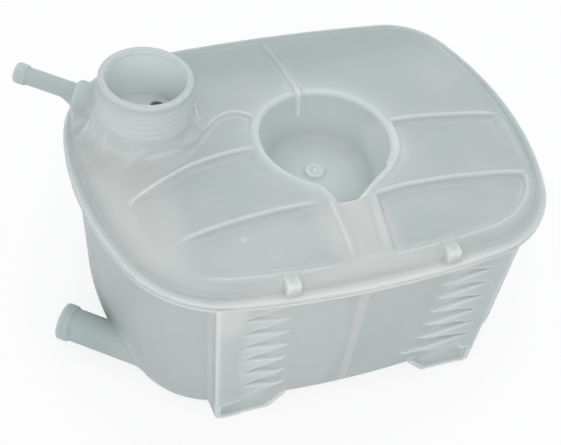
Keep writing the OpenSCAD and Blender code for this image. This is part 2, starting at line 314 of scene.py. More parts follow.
# Spacing of a curve's samples, and how many of them on each side soften it
CURVE_STEP = 0.5
CURVE_SOFT = 10
# Directions and distances at which the crown's edge is looked up, and the range of those distances
EDGE_TURNS = 361
EDGE_REACHES = 400
EDGE_NEAREST = 40
EDGE_BEYOND = 10

# Tones of the plastic: painted light, paler where shade falls in hollows and on inner faces and brighter on
# the front, partly also where the plastic is thick or backed by a wall inside, and painted shade, darker teal
# away from the neck
# Milky white for painted light, partly also for thick plastic
MILK_AND_LIGHT = (0.65, 0.645, 0.63, 1)
# Pale tone for painted light that lifts shade
SHADE_LIFT = (0.67, 0.74, 0.74, 1)
# Darker teal for painted shade
TEAL_SHADE = (0.35, 0.42, 0.42, 1)
# White for painted light
WHITE_LIGHT = (0.84, 0.88, 0.88, 1)
# Darker tone over the neck's mouth, which dims the painted highlights on its rim and thread
MOUTH_TONE = (0.41, 0.445, 0.445, 1)
PLAIN_TONES = ((0.44, 0.488, 0.489, 1), (0.476, 0.514, 0.517, 1))
# Painted highlight along ridges
RIDGE_HIGHLIGHT = (0.61, 0.635, 0.63, 1)
# Painted light in creases, lifting their shade
CREASE_LIGHT = (0.74, 0.77, 0.765, 1)
# Painted light on inner faces, standing in for light that comes through the walls
INSIDE_LIGHT = (0.76, 0.82, 0.82, 1)
RIDGE_SHARE, CREASE_SHARE, INSIDE_SHARE = 0.38, 0.5, 1.0
# Patches of those tones on each half, painted light and painted shade: middle in the object's frame, half
# sizes, softness, strength and tone
UPPER_PATCHES = (
    # Painted light that lifts the shade in the well
    ((5.6, -4.7, 93), (43, 43, 22), 0.4, 0.85, SHADE_LIFT),
    # Painted shade on the back of the top
    ((10, 76, 98), (120, 36, 20), 0.4, 0.7, TEAL_SHADE),
    # Painted shade along the right end
    ((118, 20, 92), (16, 75, 16), 0.4, 0.5, TEAL_SHADE),
    # Painted light on the front of the flange, partly for its thick double lip
    ((-5, -87, 90), (78, 11, 10), 0.4, 0.65, MILK_AND_LIGHT),
    # Painted light on the front middle of the top
    ((-1, -62, 99), (21, 28, 9), 0.4, 0.55, MILK_AND_LIGHT),
    # Painted light that lifts the shade between the neck's flare and the flange on the left
    ((-96, -30, 96), (20, 46, 12), 0.4, 0.5, MILK_AND_LIGHT),
    # Painted light round the neck's foot
    ((-86, 12, 108), (30, 33, 22), 0.4, 0.22, MILK_AND_LIGHT),
    # Painted light that lifts the shade left of the neck
    ((-104, 8, 96), (12, 24, 11), 0.4, 0.4, MILK_AND_LIGHT),
    # Painted light that lifts the shade on the well's right wall
    ((37, -14, 91), (11, 24, 14), 0.3, 0.4, WHITE_LIGHT),
    # Painted light on the front left panel
    ((-45, -62, 96), (32, 17, 9), 0.4, 0.25, MILK_AND_LIGHT),
    # Painted shade on the vent spigot
    ((-120, 58, 108), (32, 26, 16), 0.4, 0.6, TEAL_SHADE),
    # Darker tone that dims the painted highlights at the mouth
    ((-80, 24, 134), (32, 32, 6), 0.4, 0.85, MOUTH_TONE))
LOWER_PATCHES = (
    # Painted shade on the outlet spigot and the left end of the tub
    ((-118, -22, 12), (32, 28, 16), 0.4, 0.75, TEAL_SHADE),
    # Painted light on the top of the left post
    ((-70, -84, 84), (10, 12, 22), 0.4, 0.7, MILK_AND_LIGHT),
    # Painted light down the left post
    ((-68, -84, 50), (14, 12, 60), 0.4, 0.15, MILK_AND_LIGHT),
    # Painted light on the front of the flange's lower lip, partly for its thick double lip
    ((-5, -87, 86), (78, 11, 5), 0.4, 0.5, MILK_AND_LIGHT),
    # Paler band where a baffle backs the front wall inside
    ((-3.2, -83, 90), (3.4, 10, 118), 0.12, 0.4, MILK_AND_LIGHT),
    # Painted light on the left half of the front wall
    ((-35, -83, 50), (33, 12, 66), 0.1, 0.25, MILK_AND_LIGHT),
    # Painted light that lifts the shade between the wedge ribs on both sides
    ((-52, -78, 48), (17, 9, 56), 0.3, 0.3, SHADE_LIFT),
    ((52, -78, 48), (17, 9, 56), 0.3, 0.3, SHADE_LIFT),
    # Painted light that lifts the shade in the recesses of both feet
    ((-57, -79, 6), (19, 8, 9), 0.3, 0.2, SHADE_LIFT),
    ((57, -79, 6), (19, 8, 9), 0.3, 0.2, SHADE_LIFT))
# Patch drawn over the others: painted light that lifts the shade on the web deep in the neck
WEB_PATCH = ((-80, 24, 103), (24, 24, 5), 0.3, 0.9, WHITE_LIGHT)
# Distance from a patch's middle, in half sizes, at which its tone is half gone
PATCH_EDGE = 0.85
# Sockets of a Mix node that blends colours
MIX_AMOUNT, MIX_FIRST, MIX_SECOND, MIX_RESULT = 0, 6, 7, 2

# Meshing: spacing of the field in millimetres and triangles kept, for each shell
UPPER_STEP, LOWER_STEP = ((0.62, 0.8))
UPPER_TRIANGLES, LOWER_TRIANGLES = 120000, 105000
# Edges that are cut after thinning: those above the first length, and those above the second along which the
# bend reading changes by more than the step
LONG_EDGE = 5.0
SHORT_EDGE = 0.9
READING_STEP = 0.22
REFINE_ROUNDS = 3
# Most triangles of a piece after those cuts
MOST_TRIANGLES = 194000
# Samples kept free round a shell
MARGIN = 4
# Size over which the plastic's bends are read, and the reading at which a bend's painted highlight or painted
# crease light is at its palest
BEND_SIZE = 1.9
BEND_FULL = 0.3
# Depth under the outer form at which a face starts to count as an inner one
INSIDE_START = 0.4
# Reach of the spigots to the left, and the room kept round the flange, for the field's samples
FIELD_LEFT = -137
FIELD_ROOM = 1

# Floor, in metres: half its size, its gap under the tank and the share of plain white that the camera sees
FLOOR_HALF = 4.0
FLOOR_GAP = 0.0002
FLOOR_WHITE_SHARE = 0.82
# Lamps: name, place and aim in metres, size, power and colour
LAMPS = (("key", (-0.5, -1.0, 1.0), (0, 0, 0.07), 1.3, 8, (1.0, 0.99, 0.97)),
         ("fill", (0.3, 0.5, 1.2), (0, 0, 0.05), 1.4, 5, (0.97, 0.99, 1.0)))


def length(*parts):
    """Length of a vector, from its parts."""
    total = parts[0] * parts[0]
    for p in parts[1:]:
        total = total + p * p
    return np.sqrt(total)


def round_max(a, b, r):
    """Intersection of two fields with a fillet of radius r on the edge."""
    return np.minimum(np.maximum(a, b), -r) + length(np.maximum(a + r, 0), np.maximum(b + r, 0))


def round_min(a, b, r):
    """Union of two fields with a fillet of radius r in the corner."""
    return -round_max(-a, -b, r)


def smooth(t):
    """Soft step from 0 to 1."""
    t = np.clip(t, 0, 1)
    return t * t * (3 - 2 * t)


def fade(distance, start, run):
    """0 up to the start, and 1 from a run further on."""
    return smooth((distance - start) / run)


def hump(distance, half_width):
    """1 in the middle, falling away softly on both sides."""
    return np.exp(-(distance / half_width) ** 2)


def mix(a, b, t):
    """From a at 0 to b at 1."""
    return a + (b - a) * t


def meet(c1, r1, c2, r2, side):
    """Point where two circles meet."""
    c1, c2 = np.array(c1), np.array(c2)
    d = c2 - c1
    span = np.hypot(*d)
    along = (r1 * r1 - r2 * r2 + span * span) / (2 * span)
    across = math.sqrt(r1 * r1 - along * along)
    return c1 + d * along / span + side * across * np.array((d[1], -d[0])) / span


FRONT_C = (0.0, FRONT_R - HALF_D)
SIDE_C = (HALF_W - SIDE_R, WIDE_Y)
BACK_C = (0.0, HALF_D - BACK_R)
FRONT_CORNER_C = meet(FRONT_C, FRONT_R - FRONT_CORNER_R, SIDE_C, SIDE_R - FRONT_CORNER_R, -1)
BACK_CORNER_C = meet(BACK_C, BACK_R - BACK_CORNER_R, SIDE_C, SIDE_R - BACK_CORNER_R, 1)
NECK_CORNER_C = meet(BACK_C, BACK_R - NECK_CORNER_R, SIDE_C, SIDE_R - NECK_CORNER_R, 1)
# Corners of the outline: centre, radius, centre of the front or back arc beside it, and the side it is on
CORNERS = (
    (FRONT_CORNER_C, FRONT_CORNER_R, FRONT_C, -1), (FRONT_CORNER_C, FRONT_CORNER_R, FRONT_C, 1),
    (NECK_CORNER_C, NECK_CORNER_R, BACK_C, -1), (BACK_CORNER_C, BACK_CORNER_R, BACK_C, 1))


def plan(x, y):
    """Distance from the flange's outline, negative inside."""
    ax = np.abs(x)
    out = np.maximum(length(x - FRONT_C[0], y - FRONT_C[1]) - FRONT_R,
                     length(x - BACK_C[0], y - BACK_C[1]) - BACK_R)
    out = np.maximum(out, length(ax - SIDE_C[0], y - SIDE_C[1]) - SIDE_R)
    for centre, r, end_c, side in CORNERS:
        u = centre - np.array(end_c)
        v = centre - np.array(SIDE_C)
        turn = np.sign(u[0] * v[1] - u[1] * v[0])
        qx, qy = ax - centre[0], y - centre[1]
        inside = ((u[0] * qy - u[1] * qx) * turn > 0) & ((qx * v[1] - qy * v[0]) * turn > 0) & (x * side > 0)
        out = np.where(inside, length(qx, qy) - r, out)
    return out


def polygon(px, py, points):
    """Distance from a closed polygon, negative inside."""
    best = None
    sign = 1.0
    for (ax, ay), (bx, by) in zip(points, points[-1:] + points[:-1]):
        ex, ey = bx - ax, by - ay
        wx, wy = px - ax, py - ay
        t = np.clip((wx * ex + wy * ey) / (ex * ex + ey * ey), 0, 1)
        d = (wx - ex * t) ** 2 + (wy - ey * t) ** 2
        best = d if best is None else np.minimum(best, d)
        above, below, left = py >= ay, py < by, ex * wy > ey * wx
        sign = np.where((above & below & left) | (~above & ~below & ~left), -sign, sign)
    return sign * np.sqrt(best)


def curve(points, x):
    """Smooth curve through points in the plan, read at x."""
    px, py = np.array(points, float).T
    fine = np.arange(px[0], px[-1], CURVE_STEP)
    weight = np.hanning(2 * CURVE_SOFT + 1)
    beyond = CURVE_SOFT * CURVE_STEP
    wide = np.interp(np.arange(px[0] - beyond, px[-1] + beyond, CURVE_STEP), px, py)
    level = np.convolve(wide, weight / weight.sum(), "same")[CURVE_SOFT:CURVE_SOFT + len(fine)]
    return np.interp(x, fine, level)


def notch_plan(x, y):
    """Distance from the well's notch in the plan, negative inside."""
    left_y = -math.sqrt(1 - NOTCH_LEFT_SHARE ** 2) * WELL_R
    right_y = -math.sqrt(1 - NOTCH_RIGHT_SHARE ** 2) * WELL_R
    corners = [(0, 0), (-WELL_R * NOTCH_LEFT_SHARE, left_y), (-NOTCH_X - NOTCH_TIP_W / 2, -NOTCH_REACH),
               (-NOTCH_X + NOTCH_TIP_W / 2, -NOTCH_REACH), (WELL_R * NOTCH_RIGHT_SHARE, right_y)]
    return polygon(x - WELL_X, y - WELL_Y, corners)


def crown_share(x, y):
    """How far out a place lies on the crown: 0 in the middle, 1 at the shoulder."""
    turns = np.linspace(-math.pi, math.pi, EDGE_TURNS)
    reach = np.linspace(EDGE_NEAREST, HALF_W + EDGE_BEYOND, EDGE_REACHES)
    inset = plan(np.outer(np.cos(turns), reach), np.outer(np.sin(turns), reach)) + LIP_W + SHOULDER_R
    edge = np.array([np.interp(0, row, reach) for row in inset])
    return length(x, y) / np.interp(np.arctan2(y, x), turns, edge)


def shingle(x, y, back, front, step, rest):
    """Drop of a panel that starts with a step at its back crest and rises again to its front one."""
    start = curve(back, x)
    t = start - y
    u = np.clip(t / np.maximum(start - front, LEAST_PANEL), 0, 1)
    drop = step * fade(t, -STEP_AHEAD, STEP_RUN) * (1 - u * (1 - rest))
    return drop - CREST_H * hump(t + CREST_BACK, CREST_HALF_W)


def panel_drop(x, y, from_well, band, front_band):
    """How far the stepped panels lie below the crown."""
    middle = np.interp(-y, *np.array(CHANNEL).T)
    from_channel = np.abs(x - middle) - CHANNEL_HALF_W
    crest = curve(MIDDLE_CREST, x)
    back_left = shingle(x, y, BACK_CREST, curve(LEFT_CREST, x), NARROW_STEP, 0) * fade(from_well, *WELL_FADE)
    back_left = back_left * fade(x, *BACK_LEFT_FADE)
    mid_left = shingle(x, y, LEFT_CREST, crest, SOFT_STEP, 0) * fade(from_well, *WELL_LEFT_FADE)
    mid_left = mid_left * fade(x, *MID_LEFT_FADE)
    mid_right = shingle(x, y, RIGHT_CREST, crest, SOFT_STEP, 0) * fade(from_well, *WELL_FADE)
    front = shingle(x, y, MIDDLE_CREST, curve(FRONT_EDGE, x), SOFT_STEP, FRONT_REST)
    front_left = front * smooth((CHANNEL_X - FRONT_MIDDLE_GAP - x) / FRONT_MIDDLE_FADE)
    front_left = front_left * fade(x, *FRONT_LEFT_FADE)
    front_right = front * fade(from_channel, *CHANNEL_SIDE_FADE)
    back = np.where(x < WELL_X, back_left + mid_left, mid_right) * band
    return back, np.where(x < middle, front_left, front_right) * front_band


def channel_rise(x, y):
    """The channel between the front panels, with the soft ridge along its left edge."""
    middle = np.interp(-y, *np.array(CHANNEL).T)
    trough = smooth((x - CHANNEL_X - CHANNEL_LEFT_GAP) / CHANNEL_LEFT_FADE)
    trough = trough * smooth((middle + CHANNEL_HALF_W - CHANNEL_RIGHT_GAP - x) / CHANNEL_RIGHT_FADE)
    ridge = CHANNEL_RIDGE_H * hump(x - CHANNEL_X, CHANNEL_RIDGE_HALF_W)
    return (ridge - CHANNEL_DEPTH * trough) * smooth((curve(MIDDLE_CREST, x) - y) / CHANNEL_BACK_FADE)


def top_height(x, y):
    """Height of the top with its stepped panels, over the plan."""
    h = TOP_Z + CROWN_H * (1 - np.minimum(crown_share(x, y), CROWN_LIMIT) ** CROWN_POWER)
    inset = -plan(x, y)
    band = fade(inset, SHOULDER_BAND, BAND_FADE)
    front_band = fade(inset, SHOULDER_BAND, FRONT_BAND_FADE)
    from_well = np.minimum(length(x - WELL_X, y - WELL_Y) - WELL_R, notch_plan(x, y))
    drop, front_drop = panel_drop(x, y, from_well, band, front_band)
    h = h - drop
    h = h - front_drop
    h = h + channel_rise(x, y) * band
    plateau = smooth((PLATEAU_R - length(x - NECK_X, y - NECK_Y)) / PLATEAU_FADE)
    plateau = plateau * smooth((y - curve(BACK_CREST, x)) / PLATEAU_FRONT_FADE)
    h = h + PLATEAU_H * plateau * band
    h = h + GATE_H * smooth((GATE_R - length(x - GATE_X, y - GATE_Y)) / GATE_FADE)
    rib = np.abs(x - np.interp(y, *np.array(BACK_RIB).T))
    rib = BACK_RIB_H * smooth((BACK_RIB_HALF_W - rib) / BACK_RIB_SIDE_FADE)
    rib = rib * fade(y, BACK_RIB_START, BACK_RIB_END_FADE)
    return h + rib * smooth((BACK_RIB_END - y) / BACK_RIB_END_FADE)


def well_field(x, y, z):
    """The well with its notch, negative in the open space."""
    floor_z = WELD_Z - WELL_DROP
    rise = TOP_Z + CROWN_H - floor_z
    slope = (WELL_R - WELL_FLOOR_R) / rise
    cone = (length(x - WELL_X, y - WELL_Y) - WELL_FLOOR_R - slope * (z - floor_z)) / math.hypot(1, slope)
    run = NOTCH_REACH - WELL_FLOOR_R
    climb = rise - PANEL_STEP
    ramp = (floor_z - z + (WELL_Y - y - WELL_FLOOR_R) * climb / run) * run / math.hypot(run, climb)
    notch = round_max(notch_plan(x, y), ramp, NOTCH_ROUND)
    hole = round_min(cone, notch, NOTCH_MOUTH_ROUND)
    rib = round_max(np.abs(x - BACK_RIB[0][1]) - WELL_RIB_HALF_W, floor_z + WELL_RIB_FOOT - z, WELL_RIB_ROUND)
    back = np.maximum(rib, -WELL_RIB_DEPTH - cone)
    hole = round_max(hole, -np.maximum(back, -y), WELL_RIB_FILLET)
    return round_max(hole, floor_z - z, WELL_FLOOR_ROUND)


def neck_radius(z):
    """Outer radius of the neck, which flares out softly towards the top of the tank."""
    return NECK_R + FLARE_OUT / (1 + np.exp((z - WELD_Z - FLARE_MID) / FLARE_SOFT))


def body_field(x, y, z, with_well):
    """The closed outer form of the tank without its spigots."""
    below = np.maximum(WELD_Z - np.maximum(z, FLOOR_R), 0)
    above = np.maximum(z - WELD_Z, 0)
    side = plan(x, y + (SIDE_DRAFT_SHARE - FRONT_DRAFT_SHARE) * below)
    side = side + LIP_W + SIDE_DRAFT_SHARE * below + TOP_DRAFT_SHARE * above
    out = round_max(side, -z, FLOOR_R)
    h = top_height(x[:, :, 0], y[:, :, 0])
    gx, gy = np.gradient(h, float(x[1, 0, 0] - x[0, 0, 0]))
    out = round_max(out, (z - h[:, :, None]) / np.sqrt(1 + gx * gx + gy * gy)[:, :, None], SHOULDER_R)
    if with_well:
        out = round_max(out, -well_field(x, y, z), WELL_RIM_R)
        r = length(x - NECK_X, y - NECK_Y)
        neck = round_max((r - neck_radius(z)) * FLARE_SLOPE, z - MOUTH_Z - MOUTH_ROUND_H, MOUTH_ROUND)
        out = round_min(out, np.maximum(neck, WELD_Z - z), FLARE_FILLET)
        ledge = hump(y - curve(BACK_CREST, x), LEDGE_HALF_W) * fade(x, *LEDGE_LEFT_FADE)
        ledge = ledge * smooth((LEDGE_RIGHT_X - x) / LEDGE_RIGHT_FADE)
        out = out - LEDGE_H * ledge * smooth((WELD_Z + LEDGE_TOP - z) / LEDGE_TOP_FADE)
    return out


def lip_field(x, y, z, low, high):
    """One of the two lips of the flange, between two heights."""
    outline = plan(x, y)
    ring = round_max(outline, np.abs(z - (low + high) / 2) - (high - low) / 2, LIP_ROUND)
    return np.maximum(ring, -(outline + LIP_W + WALL / 2))


def along_spigot(x, y, z, root, height):
    """Place along a spigot's axis from its root, and distance from the axis."""
    c, s = math.cos(math.radians(SPIGOT_TURN)), math.sin(math.radians(SPIGOT_TURN))
    dx, dy = x - root[0], y - root[1]
    along = dx * c + dy * s
    across = length(dx * s - dy * c, z - height)
    return along, across


def spigot_field(along, across, reach, d, bead_d):
    """A spigot with a bead at its end."""
    swell = smooth((along - reach + BEAD_L + (bead_d - d)) / (bead_d - d))
    return round_max(across - mix(d / 2, bead_d / 2, swell), along - reach, SPIGOT_ROUND)


def gusset_field(x, y, z):
    """The fins that stand round the neck's foot."""
    out = None
    for turn, reach, rise in GUSSETS:
        c, s = math.cos(math.radians(turn)), math.sin(math.radians(turn))
        dx, dy = x - NECK_X, y - NECK_Y
        r, across = dx * c + dy * s, np.abs(dx * s - dy * c) - GUSSET_T / 2
        top = STRAIGHT_Z + rise
        edge = polygon(r, z, [(NECK_D / 2 - WALL / 2, WELD_Z + LIP_T), (FLARE_R, WELD_Z + LIP_T),
                              (FLARE_R + reach, TOP_Z - SHOULDER_R / 4), (NECK_D / 2 + GUSSET_T / 2, top),
                              (NECK_D / 2 - WALL / 2, top)])
        fin = round_max(edge, across, GUSSET_ROUND)
        out = fin if out is None else np.minimum(out, fin)
    return out


def lug_field(x, y, z):
    """The two lugs on the front of the flange."""
    ax = np.abs(np.abs(x) - LUG_SPAN / 2) - LUG_W / 2
    ay = np.abs(y + HALF_D - LIP_W - LUG_L / 2) - LUG_L / 2
    az = np.abs(z - WELD_Z - LUG_H / 2) - LUG_H / 2
    return round_max(round_max(ax, ay, LUG_ROUND), az, LUG_ROUND)


def vent_field(x, y, z):
    """The vent spigot with its sleeve and the fin under it, and its bore."""
    along, across = along_spigot(x, y, z, (NECK_X, NECK_Y), WELD_Z + VENT_Z)
    vent = spigot_field(along, across, VENT_REACH, VENT_D, VENT_BEAD_D)
    foot = smooth((WELD_Z + VENT_Z - z) / SLEEVE_FADE)
    end = smooth((along - SLEEVE_END) / (SLEEVE_TAPER + SLEEVE_TAPER_BELOW * foot))
    sleeve = across - mix(VENT_D / 2 + WALL, VENT_D / 2, end)
    vent = np.maximum(np.minimum(vent, np.maximum(sleeve * SLEEVE_SLOPE, along - SLEEVE_CUT)), -along)
    c, s = math.cos(math.radians(SPIGOT_TURN)), math.sin(math.radians(SPIGOT_TURN))
    beside = np.abs((x - NECK_X) * s - (y - NECK_Y) * c) - VENT_D / 2 - WALL / 2
    ends = np.maximum(-along, along - FIN_REACH)
    below = np.maximum(np.maximum(z - WELD_Z - VENT_Z, WELD_Z + LIP_T - z), ends)
    vent = round_min(vent, round_max(beside, below, FIN_ROUND), FIN_ROUND)
    return vent, np.maximum(across - VENT_BORE / 2, -along)


def boss_field(x, y, z):
    """The round boss on the well's floor, dished, with a pip in the middle."""
    r = length(x - BOSS_X, y - BOSS_Y)
    top = WELD_Z - WELL_DROP + BOSS_H - DISH_DEPTH * smooth((DISH_R - r) / DISH_FADE)
    top = top + PIP_H * smooth((PIP_R - r) / PIP_FADE)
    boss = round_max(r - BOSS_D / 2, z - top, BOSS_ROUND)
    return np.maximum(boss, WELD_Z - WELL_DROP - WALL - z)


def web_field(x, y, z):
    """The web across the neck, with two openings and a round hole."""
    gap = NECK_BORE / 2 - 2 * WEB_T
    beside = np.abs(np.abs(x - NECK_X) - WEB_T - gap / 2) - gap / 2
    holes = np.maximum(beside, np.abs(y - NECK_Y) - gap / 2)
    hole_x, hole_y, hole_r = WEB_HOLE
    holes = np.minimum(holes, length(x - NECK_X - hole_x, y - NECK_Y - hole_y) - hole_r)
    r = length(x - NECK_X, y - NECK_Y)
    layer = np.maximum(z - WELD_Z - WEB_Z - WEB_T, WELD_Z + WEB_Z - z)
    return np.maximum(layer, np.maximum(r - neck_radius(z), -holes))


def upper_field(x, y, z):
    """The upper half, and its outer form as if it were solid."""
    body = body_field(x, y, z, True)
    inner = body + WALL
    r = length(x - NECK_X, y - NECK_Y)
    angle = np.arctan2(y - NECK_Y, x - NECK_X) / (2 * math.pi)
    turn = (MOUTH_Z - THREAD_TOP - z) / THREAD_PITCH - angle
    ends = smooth(turn * THREAD_STEEP) * smooth((THREAD_TURNS - turn) * THREAD_STEEP)
    ridge = smooth(THREAD_CREST - np.abs((turn % 1) - 0.5) * THREAD_STEEP) * ends
    ring = smooth(RING_CREST - np.abs(z - MOUTH_Z + RING_DROP) / RING_FADE)
    band = np.abs(z - STRAIGHT_Z - THREAD_BAND_MID) - THREAD_BAND_HALF
    out = np.minimum(body, np.maximum(r - NECK_R - THREAD_H * ridge - RING_H * ring, band))
    vent, vent_bore = vent_field(x, y, z)
    out = round_min(out, vent, VENT_FILLET)
    out = round_min(out, np.maximum(gusset_field(x, y, z), -inner), GUSSET_FILLET)
    out = round_min(out, lip_field(x, y, z, WELD_Z, WELD_Z + LIP_T), LIP_FILLET)
    out = round_min(out, np.maximum(lug_field(x, y, z), -inner), LUG_FILLET)
    solid = out
    bore = np.maximum(r - NECK_BORE / 2 + BORE_PRINT * ridge, STRAIGHT_Z - BORE_RUN - z)
    out = round_max(out, -np.minimum(inner, bore), BORE_ROUND)
    out = np.maximum(out, -vent_bore)
    out = np.minimum(out, web_field(x, y, z))
    out = round_min(out, boss_field(x, y, z), BOSS_FILLET)
    below = WELD_Z - WELL_DROP - 2 * WALL - z
    well_side = np.maximum(length(x - WELL_X, y - WELL_Y) - NOTCH_REACH - WALL, below)
    return np.maximum(out, np.minimum(WELD_Z - z, well_side)), solid


def post_front(ax, z, low, high):
    """A leaning post's front view between two heights."""
    x_low = POST_X - POST_LEAN * (1 - low / WELD_Z)
    x_high = POST_X - POST_LEAN * (1 - high / WELD_Z)
    return polygon(ax, z, [(x_high, high), (x_low, low), (x_low - POST_W, low), (x_high - POST_W, high)])


def ribs_front(x, z):
    """The wedge ribs, whose roots lean with the left post and stand upright beside the right one."""
    ax = np.abs(x)
    out = None
    for i in range(RIBS):
        low = RIB_Z + i * RIB_PITCH
        root = np.where(x > 0, RIGHT_ROOT_X, POST_X - POST_W - POST_LEAN * (1 - low / WELD_Z))
        tip = RIB_TIP_X - np.where(x > 0, np.interp(low, *np.array(RIB_REACH).T), 0)
        share = np.clip((root - ax) / (root - tip), -RIB_OVERRUN, 1)
        half = RIB_PITCH / 2 * (1 - share)
        rib = np.maximum((np.abs(z - low - RIB_PITCH / 2) - half) * RIB_SLOPE, tip - ax)
        out = rib if out is None else np.minimum(out, rib)
    return np.maximum(out, ax - root - WALL)


def front_slab(front, y, depth, rounding):
    """A front view carried back from the posts' front."""
    return round_max(front, np.abs(y + POST_Y - depth / 2) - depth / 2, rounding)


def posts_field(x, y, z):
    """The two posts with their recessed feet."""
    ax = np.abs(x)
    inner_side = np.where(x > 0, RIGHT_ROOT_X - ax, FAR_INSIDE)
    outer, inward = POST_X - POST_LEAN - WALL, POST_X - POST_LEAN - FOOT_L
    foot = polygon(ax, z, [(outer, -FOOT_H), (inward + FOOT_SLOPE, -FOOT_H), (inward - FOOT_SLOPE, FOOT_H),
                           (outer, RIB_Z)])
    front = np.maximum(post_front(ax, z, -FOOT_H, WELD_Z), inner_side)
    post = front_slab(front, y, FLOOR_R + WALL, POST_ROUND)
    post = round_min(post, front_slab(foot, y, FLOOR_R, FOOT_ROUND), FOOT_ROUND)
    post = round_max(post, -z, SOLE_ROUND)
    low_root = np.where(x > 0, RIGHT_ROOT_X, POST_X - POST_W - POST_LEAN)
    recess = round_max(FOOT_RIM - z, ax - POST_X + POST_LEAN + FOOT_RIM, RECESS_ROUND)
    recess_top = (z - RIB_Z + RECESS_TOP_DROP - (low_root - ax) * RECESS_LEAN) * RECESS_TOP_SLOPE
    recess = round_max(recess, recess_top, RECESS_TOP_ROUND)
    slope = ((inward - ax) * FOOT_H / FOOT_SLOPE - z) * FOOT_FIELD_SLOPE + FOOT_RIM
    recess = round_max(recess, slope, RECESS_ROUND)
    recess = round_max(recess, y + POST_Y - FOOT_RECESS, RECESS_FLOOR_ROUND)
    return round_max(post, -recess, RECESS_EDGE_ROUND)


def lower_field(x, y, z):
    """The lower half, and its outer form as if it were solid."""
    body = body_field(x, y, z, False)
    inner = body + WALL
    out = round_min(body, posts_field(x, y, z), POST_FILLET)
    out = np.minimum(out, front_slab(ribs_front(x, z), y, FLOOR_R, RIB_ROUND))
    out = round_min(out, lip_field(x, y, z, WELD_Z - LIP_T, WELD_Z), LIP_FILLET)
    along, across = along_spigot(x, y, z, (OUTLET_X, OUTLET_Y), OUTLET_Z)
    outlet = spigot_field(along, across, 0.0, OUTLET_D, OUTLET_BEAD_D)
    out = round_min(out, np.maximum(outlet, -along - OUTLET_RUN), OUTLET_FILLET)
    solid = out
    out = np.maximum(out, -inner)
    out = np.maximum(out, -np.maximum(across - OUTLET_BORE / 2, -along - OUTLET_RUN))
    return np.maximum(out, z - WELD_Z), solid


def cell_corners(f, cells):
    """The field at the eight corners of each cell."""
    i, j, k = cells.T
    return {(a, b, c): f[i + a, j + b, k + c] for a in (0, 1) for b in (0, 1) for c in (0, 1)}


def gradient_at(f, origin, step, points):
    """Direction in which the field grows, at points between its samples."""
    place = (points - origin) / step
    cells = np.clip(np.floor(place).astype(int), 0, np.array(f.shape) - 2)
    t = np.clip(place - cells, 0, 1)
    v = cell_corners(f, cells)
    out = np.zeros((len(points), 3))
    for axis in range(3):
        p, q = [n for n in range(3) if n != axis]
        for a in (0, 1):
            for b in (0, 1):
                low, high = [0, 0, 0], [0, 0, 0]
                high[axis] = 1
                low[p] = high[p] = a
                low[q] = high[q] = b
                weight = (t[:, p] if a else 1 - t[:, p]) * (t[:, q] if b else 1 - t[:, q])
                out[:, axis] += weight * (v[tuple(high)] - v[tuple(low)])
    return out / np.maximum(np.linalg.norm(out, axis=1, keepdims=True), 1e-9)


def value_at(f, origin, step, points):
    """The field's value at points between its samples."""
    place = (points - origin) / step
    cells = np.clip(np.floor(place).astype(int), 0, np.array(f.shape) - 2)
    t = np.clip(place - cells, 0, 1)
    out = np.zeros(len(points))
    for corner, v in cell_corners(f, cells).items():
        weight = np.ones(len(points))
        for axis in range(3):
            weight *= t[:, axis] if corner[axis] else 1 - t[:, axis]
        out += weight * v
    return out


def blurred(f, half):
    """Mean of the field over the cube of samples around each one."""
    for axis in range(3):
        n = f.shape[axis]
        total = np.cumsum(f, axis, dtype=np.float64)
        total = np.insert(total, 0, 0.0, axis)
        high = np.minimum(np.arange(n) + half + 1, n)
        low = np.maximum(np.arange(n) - half, 0)
        count = (high - low).reshape([-1 if k == axis else 1 for k in range(3)])
        f = (np.take(total, high, axis) - np.take(total, low, axis)) / count
    return f


def surface_of(f, origin, step):
    """Vertices and quads of the field's zero surface, one vertex in each cell that it crosses."""
    s = f < 0
    count = sum(s[a:s.shape[0] - 1 + a, b:s.shape[1] - 1 + b, c:s.shape[2] - 1 + c].astype(np.int8)
                for a in (0, 1) for b in (0, 1) for c in (0, 1))
    active = (count > 0) & (count < 8)
    cells = np.argwhere(active)
    index = np.full(active.shape, -1, np.int32)
    index[active] = np.arange(len(cells))
    v = cell_corners(f, cells)
    total = np.zeros((len(cells), 3))
    crossings = np.zeros(len(cells))
    for axis in range(3):
        for corner in [c for c in v if c[axis] == 0]:
            other = tuple(1 if n == axis else corner[n] for n in range(3))
            va, vb = v[corner], v[other]
            hit = (va < 0) != (vb < 0)
            t = np.where(hit, va / np.where(hit, va - vb, 1), 0)
            spot = np.tile(np.array(corner, float), (len(cells), 1))
            spot[:, axis] = t
            total += spot * hit[:, None]
            crossings += hit
    points = (cells + total / crossings[:, None]) * step + origin
    quads = []
    for axis in range(3):
        p, q = (axis + 1) % 3, (axis + 2) % 3
        low = [slice(1, -1)] * 3
        high = [slice(1, -1)] * 3
        low[axis], high[axis] = slice(0, -1), slice(1, None)
        a, b = s[tuple(low)], s[tuple(high)]
        edges = np.argwhere(a != b)
        edges[:, p] += 1
        edges[:, q] += 1
        outward = a[a != b]
        ring = []
        for dp, dq in ((-1, -1), (0, -1), (0, 0), (-1, 0)):
            cell = edges.copy()
            cell[:, p] += dp
            cell[:, q] += dq
            ring.append(index[cell[:, 0], cell[:, 1], cell[:, 2]])
        ring = np.stack(ring, 1)
        ring[~outward] = ring[~outward][:, ::-1]
        quads.append(ring)
    return points, np.concatenate(quads)


